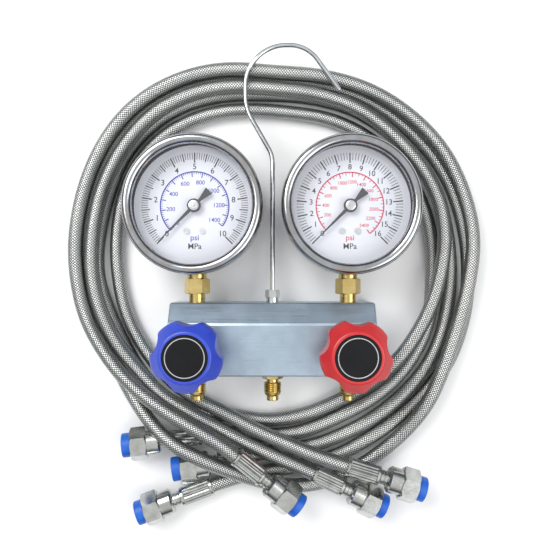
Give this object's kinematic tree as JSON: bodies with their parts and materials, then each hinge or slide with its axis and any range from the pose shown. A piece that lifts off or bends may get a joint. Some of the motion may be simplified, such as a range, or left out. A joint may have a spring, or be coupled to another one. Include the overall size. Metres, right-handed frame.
{
  "type": "refrigerant manifold gauge set",
  "caption": "Two-valve refrigerant manifold with low- and high-side pressure gauges, lobed knobs, flare ports, a hanging hook and braided charging hoses coiled round it.",
  "frame": {"origin": "centre of the manifold block's back face, which rests on the bench", "axes": "+X towards the high-side gauge, +Y up the block towards the hanging hook, +Z out of the dials"},
  "size_m": [0.2673, 0.3114, 0.076],
  "materials": {
    "anodised_block": "satin clear anodising over a fine machined face",
    "chromed_wire": "bright chrome plate",
    "brass": "bright turned brass",
    "polished_steel": "polished stainless steel",
    "window_glass": "clear polished",
    "dial_white": "matt white enamel with printed scales",
    "pointer_black": "satin black",
    "dial_screw": "plain",
    "valve_steel": "turned",
    "knob_blue": "moulded, satin",
    "knob_red": "moulded, satin",
    "badge_black": "gloss",
    "gasket_rubber": "matt",
    "hose_braid": "stainless wire braid over a rubber hose",
    "fitting_steel": "zinc-plated, bright",
    "cap_blue": "moulded, satin"
  },
  "bodies": {
    "manifold": {"manifold_block": "anodised_block", "hook": "chromed_wire", "hook_nut": "chromed_wire", "left_port": "brass", "centre_port": "brass", "right_port": "brass", "window_gaskets": "gasket_rubber", "dial_screws": "dial_screw", "fill_plugs": "gasket_rubber", "hose_1": "hose_braid", "hose_2": "hose_braid", "hose_3": "hose_braid", "hose_ferrules": "fitting_steel", "hose_stems": "fitting_steel", "left_bonnet": "brass", "left_case": "polished_steel", "left_bezel": "polished_steel", "left_window": "window_glass", "left_dial": "dial_white", "left_socket": "brass", "left_bourdon_tube": "brass", "left_movement_frame": "brass", "right_bonnet": "brass", "right_case": "polished_steel", "right_bezel": "polished_steel", "right_window": "window_glass", "right_dial": "dial_white", "right_socket": "brass", "right_bourdon_tube": "brass", "right_movement_frame": "brass"},
    "left_needle": {"left_pointer": "pointer_black", "left_arbor": "brass"},
    "left_sector_gear": {"left_sector": "brass"},
    "left_link_bar": {"left_link": "brass"},
    "left_valve_plunger": {"left_plunger": "brass"},
    "left_handwheel": {"left_stem": "valve_steel", "left_knob": "knob_blue", "left_badge": "badge_black", "left_knob_screw": "valve_steel"},
    "right_needle": {"right_pointer": "pointer_black", "right_arbor": "brass"},
    "right_sector_gear": {"right_sector": "brass"},
    "right_link_bar": {"right_link": "brass"},
    "right_valve_plunger": {"right_plunger": "brass"},
    "right_handwheel": {"right_stem": "valve_steel", "right_knob": "knob_red", "right_badge": "badge_black", "right_knob_screw": "valve_steel"},
    "nut_1": {"swivel_nut_1": "fitting_steel"},
    "cap_1": {"dust_cap_1": "cap_blue"},
    "nut_2": {"swivel_nut_2": "fitting_steel"},
    "cap_2": {"dust_cap_2": "cap_blue"},
    "nut_3": {"swivel_nut_3": "fitting_steel"},
    "cap_3": {"dust_cap_3": "cap_blue"},
    "nut_4": {"swivel_nut_4": "fitting_steel"},
    "cap_4": {"dust_cap_4": "cap_blue"},
    "nut_5": {"swivel_nut_5": "fitting_steel"},
    "cap_5": {"dust_cap_5": "cap_blue"},
    "nut_6": {"swivel_nut_6": "fitting_steel"},
    "cap_6": {"dust_cap_6": "cap_blue"}
  },
  "joints": [
    {"name": "left_needle_turn", "type": "hinge", "parent": "manifold", "child": "left_needle", "pos_m": [-0.048, 0.0824, 0.0364], "axis": [0, 0, -1], "range_deg": [0, 270.1]},
    {"name": "left_sector_turn", "type": "hinge", "parent": "manifold", "child": "left_sector_gear", "pos_m": [-0.039, 0.06681, 0.0213], "axis": [0, 0, 1], "range_deg": [0, 33.75]},
    {"name": "left_link_swing", "type": "hinge", "parent": "left_sector_gear", "child": "left_link_bar", "pos_m": [-0.0355, 0.06075, 0.0198], "axis": [0, 0, 1], "range_deg": [-33.76, 0]},
    {"name": "left_valve_lift", "type": "slide", "parent": "manifold", "child": "left_valve_plunger", "axis": [0, 0, 1], "range_m": [0, 0.0025]},
    {"name": "left_knob_turn", "type": "hinge", "parent": "left_valve_plunger", "child": "left_handwheel", "pos_m": [-0.048, -0.0065, 0.06], "axis": [0, 0, 1], "range_deg": [0, 720]},
    {"name": "right_needle_turn", "type": "hinge", "parent": "manifold", "child": "right_needle", "pos_m": [0.048, 0.0824, 0.0364], "axis": [0, 0, -1], "range_deg": [0, 270.1]},
    {"name": "right_sector_turn", "type": "hinge", "parent": "manifold", "child": "right_sector_gear", "pos_m": [0.057, 0.06681, 0.0213], "axis": [0, 0, 1], "range_deg": [0, 33.75]},
    {"name": "right_link_swing", "type": "hinge", "parent": "right_sector_gear", "child": "right_link_bar", "pos_m": [0.0605, 0.06075, 0.0198], "axis": [0, 0, 1], "range_deg": [-33.76, 0]},
    {"name": "right_valve_lift", "type": "slide", "parent": "manifold", "child": "right_valve_plunger", "axis": [0, 0, 1], "range_m": [0, 0.0025]},
    {"name": "right_knob_turn", "type": "hinge", "parent": "right_valve_plunger", "child": "right_handwheel", "pos_m": [0.048, -0.0065, 0.06], "axis": [0, 0, 1], "range_deg": [0, 720]},
    {"name": "nut_1_turn", "type": "hinge", "parent": "manifold", "child": "nut_1", "pos_m": [-0.08257, -0.06956, 0.01147], "axis": [-0.988, -0.0988, 0.1186], "continuous": true},
    {"name": "cap_1_pull", "type": "slide", "parent": "nut_1", "child": "cap_1", "axis": [-0.988, -0.0988, 0.1186], "range_m": [0, 0.008]},
    {"name": "nut_2_turn", "type": "hinge", "parent": "manifold", "child": "nut_2", "pos_m": [-0.05035, -0.0843, 0.01144], "axis": [-0.982, -0.1473, 0.1178], "continuous": true},
    {"name": "cap_2_pull", "type": "slide", "parent": "nut_2", "child": "cap_2", "axis": [-0.982, -0.1473, 0.1178], "range_m": [0, 0.008]},
    {"name": "nut_3_turn", "type": "hinge", "parent": "manifold", "child": "nut_3", "pos_m": [-0.07388, -0.11029, 0.01172], "axis": [-0.9412, -0.3137, 0.1255], "continuous": true},
    {"name": "cap_3_pull", "type": "slide", "parent": "nut_3", "child": "cap_3", "axis": [-0.9412, -0.3137, 0.1255], "range_m": [0, 0.008]},
    {"name": "nut_4_turn", "type": "hinge", "parent": "manifold", "child": "nut_4", "pos_m": [0.0051, -0.09648, 0.02716], "axis": [0.7807, -0.6245, -0.0234], "continuous": true},
    {"name": "cap_4_pull", "type": "slide", "parent": "nut_4", "child": "cap_4", "axis": [0.7807, -0.6245, -0.0234], "range_m": [0, 0.008]},
    {"name": "nut_5_turn", "type": "hinge", "parent": "manifold", "child": "nut_5", "pos_m": [0.05847, -0.10303, 0.01745], "axis": [0.9019, -0.4313, -0.0235], "continuous": true},
    {"name": "cap_5_pull", "type": "slide", "parent": "nut_5", "child": "cap_5", "axis": [0.9019, -0.4313, -0.0235], "range_m": [0, 0.008]},
    {"name": "nut_6_turn", "type": "hinge", "parent": "manifold", "child": "nut_6", "pos_m": [0.08142, -0.09152, 0.02457], "axis": [0.9562, -0.2922, 0.0159], "continuous": true},
    {"name": "cap_6_pull", "type": "slide", "parent": "nut_6", "child": "cap_6", "axis": [0.9562, -0.2922, 0.0159], "range_m": [0, 0.008]}
  ],
  "couplings": [
    {"joint": "left_needle_turn", "follows": "left_sector_turn", "ratio": 8},
    {"joint": "left_link_swing", "follows": "left_sector_turn", "ratio": -1},
    {"joint": "left_valve_lift", "follows": "left_knob_turn", "m_per_rad": 0.0001989},
    {"joint": "right_needle_turn", "follows": "right_sector_turn", "ratio": 8},
    {"joint": "right_link_swing", "follows": "right_sector_turn", "ratio": -1},
    {"joint": "right_valve_lift", "follows": "right_knob_turn", "m_per_rad": 0.0001989}
  ]
}
